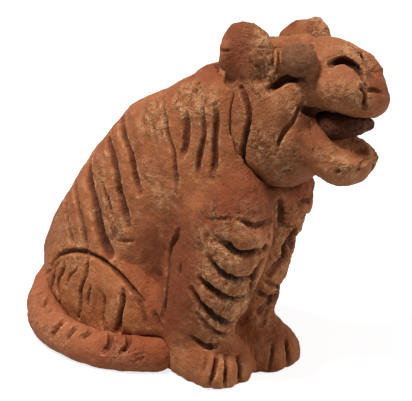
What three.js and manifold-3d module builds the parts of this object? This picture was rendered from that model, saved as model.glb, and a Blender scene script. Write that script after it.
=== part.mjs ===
// A seated tiger with its mouth open, modelled by hand in red clay and fired: a terracotta animal figure
// about 195 mm tall. A maker builds it from lumps, pads and coils of soft clay pressed together with slip: a
// hollow trunk, two haunches, two forelegs, four paws, a tail, and a head with its own jaw, tongue, nose,
// eyes and ears. The stripes are then cut into the firm clay with a round-ended tool. Every lump here is its
// own closed solid.
//
// Millimetres, +Z up. The figure faces -Y, so its left is +X. The origin is under the middle of the figure's
// reach, on the surface that it stands on.
import * as THREE from "three";
import { mergeVertices } from "three/addons/utils/BufferGeometryUtils.js";
import Module from "manifold-3d";

const wasm = await Module();
wasm.setup();

// Driving dimensions
const SEAM = 0.3; // the thickness of slip between two lumps
const TRUNK_WALL = 14; // clay left round the hollow at the base
const HOLLOW_HEIGHT = 108;
const STRIPE_WIDTH = 5.2;
const STRIPE_DEPTH = 3;
const TAIL_THICKNESS = 20;
const PAW_HEIGHT = 25;
const PAW_WIDTH = 35;
const TOE_GAP_WIDTH = 3;
const HIND_PAW_HEIGHT = 14;
const HAUNCH_HEIGHT = 65;
const HAUNCH_LENGTH = 100;
const HAUNCH_THICKNESS = 30; // half of it is sunk in the trunk's side
const HEAD_TURN = 15; // degrees, to its left
const HEAD_ROLL = 12; // degrees, left side lower
const HEAD_PLACE = [0, -66, 118.6];
const SKULL_WIDTH = 60;
const MUZZLE_WIDTH = 36;
const JAW_WIDTH = 38;
const EYE_SPREAD = SKULL_WIDTH / 2 - 8; // from the middle of the face
const EAR_SPREAD = SKULL_WIDTH / 2 - 2;
const EAR_THICKNESS = 13;
const REACH_MIDDLE = [-5.75, -32.25]; // of the figure as it is laid out below
const ROOM = 300; // past the figure's reach on every side

const X = new THREE.Vector3(1, 0, 0);
const Y = new THREE.Vector3(0, 1, 0);
const Z = new THREE.Vector3(0, 0, 1);
const SIDES = { right: -1, left: 1 };
const radians = THREE.MathUtils.degToRad;

// Rows of numbers, joined by a smooth curve from row to row: the row at t, from 0 to 1
function along(rows, t) {
  const step = t * (rows.length - 1);
  const i = Math.min(Math.floor(step), rows.length - 2);
  const f = step - i;
  const at = (k) => rows[THREE.MathUtils.clamp(k, 0, rows.length - 1)];
  return rows[i].map((_, c) => {
    const [p, q, r, s] = [at(i - 1)[c], at(i)[c], at(i + 1)[c], at(i + 2)[c]];
    const bend = (2 * p - 5 * q + 4 * r - s) * f ** 2 + (3 * q - p - 3 * r + s) * f ** 3;
    return 0.5 * (2 * q + (r - p) * f + bend);
  });
}

// A ring of points round a place: an oval of half sizes a and b, squarer as its fullness passes 2
function ring(middle, u, v, a, b, fullness, count) {
  const bend = (x) => Math.sign(x) * Math.abs(x) ** (2 / fullness);
  return Array.from({ length: count }, (_, k) => {
    const turn = (2 * Math.PI * k) / count;
    const point = middle.clone().addScaledVector(u, a * bend(Math.cos(turn)));
    return point.addScaledVector(v, b * bend(Math.sin(turn)));
  });
}

// A closed skin over rings of points, with a fan over each end
function skin(rings) {
  const n = rings[0].length;
  const points = rings.flat();
  const index = [];
  for (let r = 0; r < rings.length - 1; r++) {
    for (let k = 0; k < n; k++) {
      const a = r * n + k;
      const b = r * n + ((k + 1) % n);
      index.push(a, b, b + n, a, b + n, a + n);
    }
  }
  const middle = (loop) => loop.reduce((sum, p) => sum.add(p), new THREE.Vector3()).divideScalar(n);
  const last = points.length - n;
  points.push(middle(rings[0]), middle(rings.at(-1)));
  for (let k = 0; k < n; k++) {
    const next = (k + 1) % n;
    index.push(points.length - 2, next, k, points.length - 1, last + k, last + next);
  }
  return new THREE.BufferGeometry().setFromPoints(points).setIndex(index);
}

// A lump made of rings from its first row to its last. Either end is flat, or a dome of the given height.
// The ring for a row comes from place(row, share, push): its size is scaled by share, and it is pushed on by
// push.
function lump(rows, place, { extra = 0, startDome = 0, endDome = 0, steps = 8 }) {
  const DOME_RINGS = 2;
  const rings = [];
  const turn = (k) => (k / (DOME_RINGS + 1)) * (Math.PI / 2);
  if (!startDome) rings.push(place(rows[0], 1, -extra));
  for (let k = 1; startDome && k <= DOME_RINGS; k++) {
    rings.push(place(rows[0], Math.sin(turn(k)), -Math.cos(turn(k)) * (startDome + extra)));
  }
  const first = startDome ? 0 : 1;
  const last = endDome ? steps : steps - 1;
  for (let k = first; k <= last; k++) rings.push(place(along(rows, k / steps), 1, 0));
  if (!endDome) rings.push(place(rows.at(-1), 1, extra));
  for (let k = 1; endDome && k <= DOME_RINGS; k++) {
    rings.push(place(rows.at(-1), Math.cos(turn(k)), Math.sin(turn(k)) * (endDome + extra)));
  }
  return skin(rings);
}

// A lump that stands up. A row is height, front, back, half width and sideways place.
function standing(rows, { extra = 0, fullness = 2.2, count = 20, ...ends }) {
  const place = ([z, front, back, half, side = 0], share, push) => {
    const middle = new THREE.Vector3(side, (front + back) / 2, z + push);
    const depth = (back - front) / 2;
    return ring(middle, X, Y, (half + extra) * share, (depth + extra) * share, fullness, count);
  };
  return lump(rows, place, { extra, ...ends });
}

// A lump that is drawn out forwards. A row is how far forwards, underside, top and half width.
function drawn(rows, { extra = 0, fullness = 2.2, count = 20, ...ends }) {
  const place = ([forward, low, high, half], share, push) => {
    const middle = new THREE.Vector3(0, -forward - push, (low + high) / 2);
    const rise = (high - low) / 2;
    return ring(middle, X, Z, (half + extra) * share, (rise + extra) * share, fullness, count);
  };
  return lump(rows, place, { extra, ...ends });
}

// A coil of clay rolled between the hands, round at both ends. A row is x, y, z and radius; wide flattens it.
function coil(rows, { extra = 0, count = 14, steps = 12, wide = 1 }) {
  const path = new THREE.CatmullRomCurve3(rows.map(([x, y, z]) => new THREE.Vector3(x, y, z)));
  const lengths = rows.map((row, i) => [i / (rows.length - 1), row[3]]);
  const place = ([t, radius], share, push) => {
    const at = THREE.MathUtils.clamp(t, 0, 1);
    const forward = path.getTangent(at);
    const side = new THREE.Vector3().crossVectors(Z, forward).normalize();
    const up = new THREE.Vector3().crossVectors(forward, side);
    const middle = path.getPoint(at).addScaledVector(forward, push);
    return ring(middle, side, up, (radius * wide + extra) * share, (radius + extra) * share, 2, count);
  };
  return lump(lengths, place, { extra, startDome: rows[0][3], endDome: rows.at(-1)[3], steps });
}

// A ball of clay pressed to an oval, then tipped by three angles in degrees
function ball(middle, size, { extra = 0, tip = [0, 0, 0], count = 12 }) {
  const shape = new THREE.SphereGeometry(1, count, Math.round(count * 0.6));
  shape.scale(size[0] + extra, size[1] + extra, size[2] + extra);
  shape.applyMatrix4(new THREE.Matrix4().makeRotationFromEuler(new THREE.Euler(...tip.map(radians))));
  return shape.translate(...middle);
}

// Solids, and the joins and cuts between them
function solid(geometry) {
  const bare = geometry.clone();
  bare.deleteAttribute("normal");
  bare.deleteAttribute("uv");
  const merged = mergeVertices(bare, 1e-4);
  const vertProperties = new Float32Array(merged.attributes.position.array);
  const triVerts = new Uint32Array(merged.index.array);
  return new wasm.Manifold(new wasm.Mesh({ numProp: 3, vertProperties, triVerts }));
}
const join = (...forms) => forms.reduce((whole, form) => whole.add(form));
const cut = (form, ...tools) => tools.flat().reduce((whole, tool) => whole.subtract(tool), form);

function geometryOf(form) {
  const { vertProperties, triVerts } = form.getMesh();
  const geometry = new THREE.BufferGeometry();
  geometry.setAttribute("position", new THREE.BufferAttribute(new Float32Array(vertProperties), 3));
  return geometry.setIndex(new THREE.BufferAttribute(new Uint32Array(triVerts), 1));
}

// The board that the figure was made on: whatever sags below it is cut away
const board = solid(new THREE.BoxGeometry(2 * ROOM, 2 * ROOM, ROOM).translate(0, 0, -ROOM / 2));

// A cut made with the round-ended tool. Its line is seen from one side, the azimuth in degrees, and each of
// its points is [across, height] there. The line is laid on the clay where a straight look from outside meets
// it, and a point that would miss the clay moves in until it meets it. The cut is widest at its middle and
// runs out at its ends.
function stroke(form, azimuth, line, width = STRIPE_WIDTH, depth = STRIPE_DEPTH) {
  const STEPS = 3;
  const TOOL_RISE = 1.5; // how much further the tool reaches out of the clay than into it
  const surface = new THREE.Mesh(geometryOf(form), new THREE.MeshBasicMaterial({ side: THREE.DoubleSide }));
  const turn = radians(azimuth);
  const look = new THREE.Vector3(-Math.sin(turn), Math.cos(turn), 0);
  const across = new THREE.Vector3(Math.cos(turn), Math.sin(turn), 0);
  const eye = new THREE.Raycaster();
  const meet = (s, z) => {
    const start = across.clone().multiplyScalar(s).addScaledVector(Z, z).addScaledVector(look, -ROOM);
    eye.set(start, look);
    return eye.intersectObject(surface)[0];
  };
  const found = [];
  for (let k = 0; k <= STEPS; k++) {
    const [s, z] = along(line, k / STEPS);
    let [hit, moved] = [meet(s, z), 1];
    while (!hit && moved > 0) {
      moved -= 0.05;
      hit = meet(s * moved, z * moved);
    }
    found.push({ point: hit.point, out: hit.face.normal });
  }
  const rings = found.map(({ point, out }, k) => {
    const before = found[Math.max(k - 1, 0)].point;
    const after = found[Math.min(k + 1, found.length - 1)].point;
    const forward = after.clone().sub(before).normalize();
    const side = new THREE.Vector3().crossVectors(out, forward).normalize();
    const up = new THREE.Vector3().crossVectors(forward, side);
    const progress = THREE.MathUtils.lerp(0.04, 0.96, k / (found.length - 1));
    const share = Math.sin(Math.PI * progress) ** 0.6;
    const middle = point.clone().addScaledVector(up, TOOL_RISE);
    return ring(middle, side, up, (width / 2) * share, depth * share + TOOL_RISE, 2, 6);
  });
  return solid(skin(rings));
}

// Strokes for one side of a form, written as they are seen on the right. The left side has their mirror
// image. Each is a share of the stripe's width, and its line from the top downwards.
function strokes(form, name, azimuth, lines) {
  const side = SIDES[name];
  return lines.map(([share, ...line]) => {
    const seen = line.map(([s, z]) => [-side * s, z]);
    return stroke(form, side * azimuth, seen, STRIPE_WIDTH * share, STRIPE_DEPTH * Math.sqrt(share));
  });
}

// TRUNK
// One thick lump that leans forwards from the rump to the neck, dug out from below so that it dries and fires
// evenly
const TRUNK = [
  [0, -44, 72, 32],
  [20, -44, 78, 36],
  [40, -47, 74, 37],
  [60, -60, 64, 37],
  [80, -80, 50, 36],
  [100, -97, 35, 35],
  [118, -100, 19, 33],
  [134, -98, 3, 31],
  [148, -94, -24, 28],
  [160, -91, -44, 23],
];
const trunkForm = (extra = 0) => solid(standing(TRUNK, { extra, endDome: 7, steps: 9, count: 20 }));

function hollowForm() {
  const narrowing = (z) => 1 - 0.4 * (z / HOLLOW_HEIGHT) ** 2;
  const rows = TRUNK.filter(([z]) => z < HOLLOW_HEIGHT).map(([z, front, back, half]) => {
    const reach = ((back - front) / 2 - TRUNK_WALL) * narrowing(z);
    const middle = (front + back) / 2;
    return [z, middle - reach, middle + reach, (half - TRUNK_WALL) * narrowing(z)];
  });
  return solid(standing(rows, { extra: 0.5, endDome: 8, steps: 5, count: 12 }));
}

// The stripes of a flank from the neck to the rump, seen from behind that side
const FLANK_VIEW = 120; // degrees round from the front
const FLANK_STRIPES = [
  [1, [76, 152], [78, 136], [80, 119]],
  [1, [71, 151], [72, 136], [73, 116]],
  [0.8, [64, 146], [65, 136], [66, 126]],
  [0.7, [33, 151], [56, 129], [64, 102]],
  [0.6, [30, 148], [44, 138], [51, 131]],
  [1.2, [20, 144], [45, 126], [56, 105]],
  [1.1, [8, 133], [28, 117], [38, 104]],
  [1.3, [-2, 119], [25, 99], [36, 79]],
  [0.8, [15, 97], [20, 88], [25, 79]],
  [1.4, [-14, 105], [5, 83], [20, 65]],
  [1, [-26, 86], [-8, 70], [7, 60]],
  [1, [-32, 78], [-17, 64], [-6, 56]],
];

// FORELEGS AND FRONT PAWS
// Two thick columns that come out of the chest and stand close together, each on a pad pinched into four toes
const LEG_MIDDLES = { right: -18, left: 19 };
const FORELEGS = {
  right: [
    [12, -70, -33, 15.5],
    [28, -76, -33, 17.5],
    [46, -88, -37, 18.5],
    [64, -97, -39, 18.5],
    [83, -104, -43, 18.5],
    [100, -104, -54, 17],
    [114, -99, -66, 10],
  ],
  left: [
    [12, -70, -26, 15],
    [23, -71, -27, 15.5],
    [46, -78, -33, 16],
    [74, -88, -43, 16],
    [90, -97, -46, 16],
    [103, -100, -56, 15],
    [114, -97, -66, 9],
  ],
};
function forelegForm(name, extra = 0) {
  const rows = FORELEGS[name].map((row) => [...row, LEG_MIDDLES[name]]);
  return solid(standing(rows, { extra, startDome: 3, endDome: 4, fullness: 2.3, steps: 6, count: 14 }));
}

// The bands across the front of a foreleg, seen from in front of its outer side
const LEG_VIEW = 45;
const LEG_STRIPES = [
  [0.8, [46, 99], [56, 96], [64, 95]],
  [1.1, [39, 87], [46, 81], [59, 80]],
  [1, [33, 75], [41, 67], [56, 65]],
  [1.1, [29, 64], [41, 54], [54, 49]],
  [1.2, [23, 55], [31, 44], [48, 32]],
];

const PAW_HALF = PAW_WIDTH / 2;
const PAW_LAP = 1; // the two pads are pushed together this far
const PAWS = {
  right: { middle: LEG_MIDDLES.right, heel: 36, toes: 82 },
  left: { middle: LEG_MIDDLES.right + PAW_WIDTH - PAW_LAP, heel: 32, toes: 86 },
};
const PAW_SAG = 6; // how far the soft pad reaches below the board before it is cut flat
function frontPawForm(name, extra = 0) {
  const { middle, heel, toes } = PAWS[name];
  const at = (share) => THREE.MathUtils.lerp(heel, toes, share);
  const rows = [
    [at(0), -PAW_SAG, PAW_HEIGHT * 0.9, PAW_HALF * 0.9],
    [at(0.45), -PAW_SAG, PAW_HEIGHT, PAW_HALF],
    [at(0.8), -PAW_SAG, PAW_HEIGHT * 0.82, PAW_HALF],
    [at(1), -PAW_SAG, PAW_HEIGHT * 0.55, PAW_HALF * 0.85],
  ];
  const pad = drawn(rows, { extra, startDome: 4, endDome: 5, fullness: 2.6, steps: 4, count: 16 });
  return cut(solid(pad.translate(middle, 0, 0)), board);
}

const TOE_GAPS = [-0.42, 0.06, 0.5]; // places across the paw, as shares of its half width
function toeGapsOf(name, paw) {
  return TOE_GAPS.map((share) => {
    const across = PAWS[name].middle + share * PAW_HALF;
    const line = [0.55, 0.3, 0.05].map((height) => [across, PAW_HEIGHT * height]);
    return stroke(paw, 0, line, TOE_GAP_WIDTH, TOE_GAP_WIDTH);
  });
}

// HAUNCHES AND HIND PAWS
// A thigh pressed on to each side of the trunk, and a small foot that comes out from under it
const HAUNCH_PLACE = [29, 6]; // out from the middle, and back
function haunchForm(name, extra = 0) {
  const side = SIDES[name];
  const middle = [side * HAUNCH_PLACE[0], HAUNCH_PLACE[1], HAUNCH_HEIGHT * 0.36];
  const size = [HAUNCH_THICKNESS / 2, HAUNCH_LENGTH / 2, HAUNCH_HEIGHT * 0.64];
  return cut(solid(ball(middle, size, { extra, tip: [0, 0, side * 4], count: 14 })), board);
}
// Places along a haunch and up it, as shares of its half length and its height
const HAUNCH_STRIPES = [
  [0.6, [-0.66, 0.6], [-0.7, 0.49], [-0.68, 0.34]],
  [0.9, [-0.48, 0.66], [-0.52, 0.49], [-0.52, 0.26]],
  [0.8, [-0.2, 0.68], [-0.22, 0.56], [-0.2, 0.43]],
  [0.7, [0.02, 0.68], [0.04, 0.58], [0.02, 0.46]],
  [1.2, [0.16, 0.51], [0.18, 0.38], [0.16, 0.26]],
  [1.2, [0.44, 0.58], [0.42, 0.43], [0.38, 0.28]],
].map(([share, ...line]) => [share, ...line.map(([y, z]) => [(y * HAUNCH_LENGTH) / 2, z * HAUNCH_HEIGHT])]);

const HIND_PAW = { middle: 30, toes: -41, heel: -4, half: 10.5 };
function hindPawForm(name, extra = 0) {
  const { toes, heel, half } = HIND_PAW;
  const middle = SIDES[name] * HIND_PAW.middle;
  const rows = [
    [0, toes + 1, heel, half * 0.95, middle],
    [HIND_PAW_HEIGHT * 0.4, toes, heel, half, middle],
    [HIND_PAW_HEIGHT * 0.7, toes + 3, heel, half * 0.86, middle],
  ];
  const ends = { endDome: HIND_PAW_HEIGHT * 0.3, steps: 3 };
  return cut(solid(standing(rows, { extra, fullness: 2.4, count: 14, ...ends })), board);
}

// TAIL
// A thick coil that leaves the rump, lies round the right side on the board and ends against the right front
// paw
const TAIL_HALF = TAIL_THICKNESS / 2;
const TAIL = [
  [10, 67, 29, TAIL_HALF * 0.85],
  [0, 67, 22, TAIL_HALF * 0.95],
  [-12, 67, 15, TAIL_HALF],
  [-25, 59, 11.5, TAIL_HALF * 1.05],
  [-36, 48, 10, TAIL_HALF * 1.05],
  [-47, 33, 9, TAIL_HALF * 1.05],
  [-52.5, 16, 8.5, TAIL_HALF * 1.02],
  [-53.5, -1, 8.5, TAIL_HALF],
  [-51, -16, 8.5, TAIL_HALF],
  [-43, -31, 8.5, TAIL_HALF],
  [-34, -41, 9, TAIL_HALF],
];
const tailForm = (extra = 0) => cut(solid(coil(TAIL, { extra, steps: 15, count: 12 })), board);
const TAIL_NICKS = [-34, -18, -1, 18].map((s) => [0.6, [s, 18], [s + 2, 13], [s + 1, 8]]);

// HEAD
// The head's lumps are laid out in a frame of the head's own: its nape at the origin, facing -Y. It is set on
// the neck as one group, turned and leaning to the figure's left.
const head = new THREE.Group();
head.position.set(...HEAD_PLACE);
head.rotation.set(0, radians(HEAD_ROLL), radians(HEAD_TURN), "ZXY");
head.updateMatrix();
const onNeck = (form) => solid(geometryOf(form).applyMatrix4(head.matrix));

// The skull with its cheeks, and the upper half of the muzzle
const SKULL_HALF = SKULL_WIDTH / 2;
const MUZZLE_HALF = MUZZLE_WIDTH / 2;
function skullForm(extra = 0) {
  const skull = [
    [-4, 6, 54, SKULL_HALF * 0.74],
    [6, -6, 61, SKULL_HALF * 0.93],
    [18, -11, 64, SKULL_HALF],
    [32, -12, 65, SKULL_HALF * 0.97],
    [43, -5, 64, SKULL_HALF * 0.8],
  ];
  const muzzle = [
    [38, 32, 65, SKULL_HALF * 0.7],
    [54, 31, 62.5, MUZZLE_HALF],
    [66, 30, 55.5, MUZZLE_HALF * 0.9],
    [75, 31, 45, MUZZLE_HALF * 0.7],
  ];
  return join(
    solid(drawn(skull, { extra, startDome: 5, endDome: 5, steps: 6, count: 20 })),
    solid(drawn(muzzle, { extra, endDome: 4, steps: 4, count: 14 })),
  );
}
const PALATE = { middle: [0, -44, 22], size: [MUZZLE_HALF - 2, 16, 9] };
const palateForm = () => solid(ball(PALATE.middle, PALATE.size, {}));

// The lower jaw is a shovel of clay, hollowed with the thumb.
const JAW_HALF = JAW_WIDTH / 2;
const JAW_WALL = 5;
const THUMB = { middle: [0, -61, 27], size: [JAW_HALF - JAW_WALL, 17, 12] };
function jawForm(extra = 0) {
  const shovel = [
    [38, 0, 32, JAW_HALF],
    [48, -1, 28, JAW_HALF],
    [58, -6, 22.5, JAW_HALF],
    [67, -5, 18.5, JAW_HALF * 0.92],
    [73.5, 3, 16, JAW_HALF * 0.7],
  ];
  const thumb = ball(THUMB.middle, THUMB.size, { extra: -extra, tip: [16, 0, 0] });
  const whole = solid(drawn(shovel, { extra, startDome: 3, endDome: 3, steps: 5, count: 16 }));
  return cut(whole, solid(thumb));
}

function tongueForm(extra = 0) {
  const slab = [
    [28, 15, 24, 8],
    [54, 17, 29.5, 10.5],
    [66, 20.5, 30, 9.5],
    [71, 22.5, 30, 7],
  ];
  return solid(drawn(slab, { extra, startDome: 3, endDome: 3, steps: 3, count: 10 }));
}

// Round pads that the whiskers would grow from, one on each side of the muzzle
const WHISKER_PADS = {
  right: { middle: [5 - MUZZLE_HALF, -60, 44], size: [9, 15, 11.5] },
  left: { middle: [MUZZLE_HALF - 6, -57, 43], size: [8, 12, 11] },
};
function whiskerPadForm(name, extra = 0) {
  const { middle, size } = WHISKER_PADS[name];
  return solid(ball(middle, size, { extra, tip: [0, 0, SIDES[name] * 12] }));
}

// A strip laid down the middle of the face, from the brow to the tip of the nose
const NOSE = [
  [0, -42, 62, 5],
  [0, -52, 61, 5.5],
  [0, -62, 57, 6],
  [0, -70, 50, 6],
  [0, -75.5, 40.5, 5.5],
];
const noseForm = (extra = 0) => solid(coil(NOSE, { extra, wide: 1.6, steps: 5, count: 10 }));

// Eyes: pellets of clay pressed into the brow
const EYE = { forward: 40, up: 55, size: [8, 11.5, 9] };
function eyeForm(name, extra = 0) {
  const side = SIDES[name];
  const middle = [side * EYE_SPREAD, -EYE.forward, EYE.up];
  return solid(ball(middle, EYE.size, { extra, tip: [-12, 0, side * 12], count: 10 }));
}

// Ears: flat round pads, the left one a little larger and further forwards
const EARS = {
  right: { forward: 14, up: 57, size: [EAR_THICKNESS / 2, 15, 15] },
  left: { forward: 19, up: 58, size: [EAR_THICKNESS / 2, 16, 15] },
};
function earForm(name, extra = 0) {
  const side = SIDES[name];
  const { forward, up, size } = EARS[name];
  const middle = [side * EAR_SPREAD, -forward, up];
  return solid(ball(middle, size, { extra, tip: [0, side * 6, side * 6] }));
}

// The cuts on one side of the face: under the eye, across the cheek, and round the ruff
const SIDE_VIEW = 90;
const FACE_CUTS = [
  [0.9, [27, 37], [35, 42], [45, 47]],
  [0.6, [49, 36], [42, 24], [37, 10]],
  [0.7, [13, 37], [19, 25], [20, 8], [30, -8]],
];

// PUTTING THE LUMPS TOGETHER
// Where two lumps meet, one of them keeps its whole form and the other is cut back from it by the thickness
// of slip.
const bothOf = (form) => [form("right", SEAM), form("left", SEAM)];

const lumps = {};
const trunk = trunkForm();
lumps.trunk = cut(
  trunk,
  hollowForm(),
  strokes(trunk, "right", FLANK_VIEW, FLANK_STRIPES),
  strokes(trunk, "left", FLANK_VIEW, FLANK_STRIPES),
  onNeck(skullForm(SEAM)),
  bothOf(forelegForm),
  bothOf(frontPawForm),
  bothOf(hindPawForm),
  tailForm(SEAM),
);
const tail = tailForm();
lumps.tail = cut(tail, strokes(tail, "right", SIDE_VIEW, TAIL_NICKS));
for (const name of ["right", "left"]) {
  const leg = forelegForm(name);
  const chin = [onNeck(skullForm(SEAM)), onNeck(jawForm(SEAM))];
  lumps[`${name}_foreleg`] = cut(
    leg,
    strokes(leg, name, LEG_VIEW, LEG_STRIPES),
    chin,
    hollowForm(),
    tailForm(SEAM),
  );
  const paw = frontPawForm(name);
  const nextPaw = name === "left" ? frontPawForm("right", SEAM) : [];
  lumps[`${name}_front_paw`] = cut(
    paw,
    toeGapsOf(name, paw),
    bothOf(forelegForm),
    nextPaw,
    hollowForm(),
    tailForm(SEAM),
  );
  const haunch = haunchForm(name);
  lumps[`${name}_haunch`] = cut(
    haunch,
    strokes(haunch, name, SIDE_VIEW, HAUNCH_STRIPES),
    trunkForm(SEAM),
    forelegForm(name, SEAM),
    frontPawForm(name, SEAM),
    hindPawForm(name, SEAM),
    tailForm(SEAM),
  );
  lumps[`${name}_hind_paw`] = cut(
    hindPawForm(name),
    hollowForm(),
    forelegForm(name, SEAM),
    frontPawForm(name, SEAM),
    tailForm(SEAM),
  );
}

const headLumps = {};
const skull = skullForm();
const underHead = skullForm(SEAM);
headLumps.head = cut(
  skull,
  palateForm(),
  strokes(skull, "right", SIDE_VIEW, FACE_CUTS),
  strokes(skull, "left", SIDE_VIEW, FACE_CUTS),
  tongueForm(SEAM),
);
headLumps.lower_jaw = cut(jawForm(), underHead, tongueForm(SEAM));
headLumps.tongue = tongueForm();
headLumps.nose_bridge = cut(noseForm(), underHead, bothOf(eyeForm));
for (const name of ["right", "left"]) {
  headLumps[`${name}_eye`] = cut(eyeForm(name), underHead);
  headLumps[`${name}_ear`] = cut(earForm(name), underHead, eyeForm(name, SEAM));
  headLumps[`${name}_whisker_pad`] = cut(
    whiskerPadForm(name),
    underHead,
    noseForm(SEAM),
    eyeForm(name, SEAM),
  );
}

// CLAY
// One body of red clay. Where it was rubbed or sits in the draught of the kiln it fires lighter or greyer.
const FIRED_RED = 0x9c5a3c;
const FIRED_APART = {
  tail: 0xa45c3e,
  right_haunch: 0xa3603f,
  left_haunch: 0xa3603f,
  right_eye: 0x86573f,
  left_eye: 0x86573f,
  tongue: 0x6e3a28,
};
function addTo(group, forms) {
  for (const [name, form] of Object.entries(forms)) {
    const color = FIRED_APART[name] ?? FIRED_RED;
    const clay = new THREE.MeshStandardMaterial({ color, roughness: 0.93, metalness: 0 });
    const mesh = new THREE.Mesh(geometryOf(form), clay);
    mesh.name = name;
    group.add(mesh);
  }
}

// THE FINISHED FIGURE
const figure = new THREE.Group();
const laidOut = new THREE.Group();
laidOut.position.set(-REACH_MIDDLE[0], -REACH_MIDDLE[1], 0);
addTo(laidOut, lumps);
addTo(head, headLumps);
laidOut.add(head);
figure.add(laidOut);
export default figure;
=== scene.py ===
import math

import bpy
import numpy as np
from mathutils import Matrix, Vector
from mathutils.bvhtree import BVHTree
from mathutils.noise import noise


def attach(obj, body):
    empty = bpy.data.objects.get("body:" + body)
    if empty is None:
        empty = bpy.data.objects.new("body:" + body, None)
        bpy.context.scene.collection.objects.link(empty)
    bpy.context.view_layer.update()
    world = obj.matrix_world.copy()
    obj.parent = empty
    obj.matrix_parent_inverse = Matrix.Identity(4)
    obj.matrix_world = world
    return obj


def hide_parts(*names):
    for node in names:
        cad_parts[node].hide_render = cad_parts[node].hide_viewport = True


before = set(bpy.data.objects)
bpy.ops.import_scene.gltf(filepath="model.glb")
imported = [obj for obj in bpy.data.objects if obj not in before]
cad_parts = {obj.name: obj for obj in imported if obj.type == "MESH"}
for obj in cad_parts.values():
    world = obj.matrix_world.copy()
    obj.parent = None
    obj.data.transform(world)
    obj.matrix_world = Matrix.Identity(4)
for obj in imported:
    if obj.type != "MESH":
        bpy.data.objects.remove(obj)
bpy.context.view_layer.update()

# A seated tiger with its mouth open, modelled by hand in red clay and fired, about 195 mm tall. The maker
# pressed lumps, pads and coils of soft clay together, smeared some of the joints over, cut the stripes with a
# round-ended tool, and left the clay unglazed. Metres, +Z up; the figure faces -Y and its right side is -X.
MM = 0.001

# CAMERA
# The figure is seen from in front of its right side and a little above, from a metre away. The marks of the
# hand and the tool are laid on the clay where they are seen from here, by their places in the photograph.
PHOTO_MIDDLE = (206, 200.5)  # pixels from its left and its top
PHOTO_WIDTH = 412  # pixels
PIXEL = 0.54 * MM  # what one of them spans on the figure
VIEW_AZIMUTH = math.radians(-45)
VIEW_ELEVATION = math.radians(20)
VIEW_DISTANCE = 1.0
VIEW_MIDDLE = Vector((17.75, 0.25, 81.6)) * MM
SENSOR_WIDTH = 36  # in millimetres, as the lens is
FARTHEST_SEEN = 20

to_camera = Vector((
    math.sin(VIEW_AZIMUTH) * math.cos(VIEW_ELEVATION),
    -math.cos(VIEW_AZIMUTH) * math.cos(VIEW_ELEVATION),
    math.sin(VIEW_ELEVATION),
))
camera_place = VIEW_MIDDLE + to_camera * VIEW_DISTANCE
photo_right = Vector((math.cos(VIEW_AZIMUTH), math.sin(VIEW_AZIMUTH), 0))
photo_up = to_camera.cross(photo_right)

bpy.ops.object.camera_add(location=camera_place)
camera = bpy.context.object
camera.rotation_euler = (-to_camera).to_track_quat("-Z", "Y").to_euler()
camera.data.sensor_width = SENSOR_WIDTH
camera.data.lens = SENSOR_WIDTH * VIEW_DISTANCE / (PHOTO_WIDTH * PIXEL)
camera.data.clip_end = FARTHEST_SEEN
bpy.context.scene.camera = camera

# BODY
# The trunk is one thick hollow lump that leans forwards, and the two forelegs are columns pressed into the
# chest, with the joints smeared over. The stripes and the bands of the legs are cut into the firm clay.
MOST_TRIANGLES = 196000  # in one piece
TRUNK_MIDDLE = (Vector((5.75, 0, 0)) * MM, Vector((1, 0, 0)))  # a point of its mirror plane, and the normal


def finish(piece, kind, **settings):
    """A modifier with its settings, applied at once"""
    bpy.context.view_layer.objects.active = piece
    modifier = piece.modifiers.new(kind.lower(), kind)
    for setting, value in settings.items():
        setattr(modifier, setting, value)
    bpy.ops.object.modifier_apply(modifier=modifier.name)


def lump(name, nodes, fineness, swell=0.4 * MM, softness=5, under=()):
    """One piece of clay from the frame's lumps: run together, rounded, and fine enough to carve. Under it
    the clay also fills the lumps that lie on it, a little sunk."""
    SUNK = -1.2 * MM
    SAME_POINT = 0.01 * MM
    parts = []
    for node in [*nodes, *under]:
        part = bpy.data.objects.new(name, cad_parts[node].data.copy())
        bpy.context.scene.collection.objects.link(part)
        part.data.materials.clear()
        bpy.ops.object.select_all(action="DESELECT")
        part.select_set(True)
        bpy.context.view_layer.objects.active = part
        bpy.ops.object.mode_set(mode="EDIT")
        bpy.ops.mesh.select_all(action="SELECT")
        bpy.ops.mesh.remove_doubles(threshold=SAME_POINT)
        bpy.ops.object.mode_set(mode="OBJECT")
        finish(part, "DISPLACE", strength=SUNK if node in under else swell, mid_level=0)
        parts.append(part)
    for part in parts:
        part.select_set(True)
    if len(parts) > 1:
        bpy.ops.object.join()
    piece = bpy.context.object
    piece.name = name
    piece.data.name = name
    finish(piece, "REMESH", mode="VOXEL", voxel_size=fineness)
    finish(piece, "SMOOTH", factor=0.5, iterations=softness)
    finish(piece, "SUBSURF", levels=2, render_levels=2)
    return piece


def points_of(piece):
    flat = np.empty(len(piece.data.vertices) * 3)
    piece.data.vertices.foreach_get("co", flat)
    return flat.reshape(-1, 3)


def normals_of(piece):
    flat = np.empty(len(piece.data.vertices) * 3)
    piece.data.vertex_normals.foreach_get("vector", flat)
    return flat.reshape(-1, 3)


def put_points(piece, points):
    piece.data.vertices.foreach_set("co", points.ravel())
    piece.data.update()


def along(line, step):
    """Points along a smooth curve through a given line, about a step apart"""
    line = np.array(line, float)
    ends = np.vstack([2 * line[0] - line[1], line, 2 * line[-1] - line[-2]])
    found = []
    for p, q, r, s in zip(ends, ends[1:], ends[2:], ends[3:]):
        count = max(1, round(float(np.linalg.norm(r - q)) / step))
        for f in np.arange(count) / count:
            bend = (2 * p - 5 * q + 4 * r - s) * f**2 + (3 * q - p - 3 * r + s) * f**3
            found.append(0.5 * (2 * q + (r - p) * f + bend))
    return found + [line[-1]]


def surface_of(piece):
    return BVHTree.FromObject(piece, bpy.context.evaluated_depsgraph_get())


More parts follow.
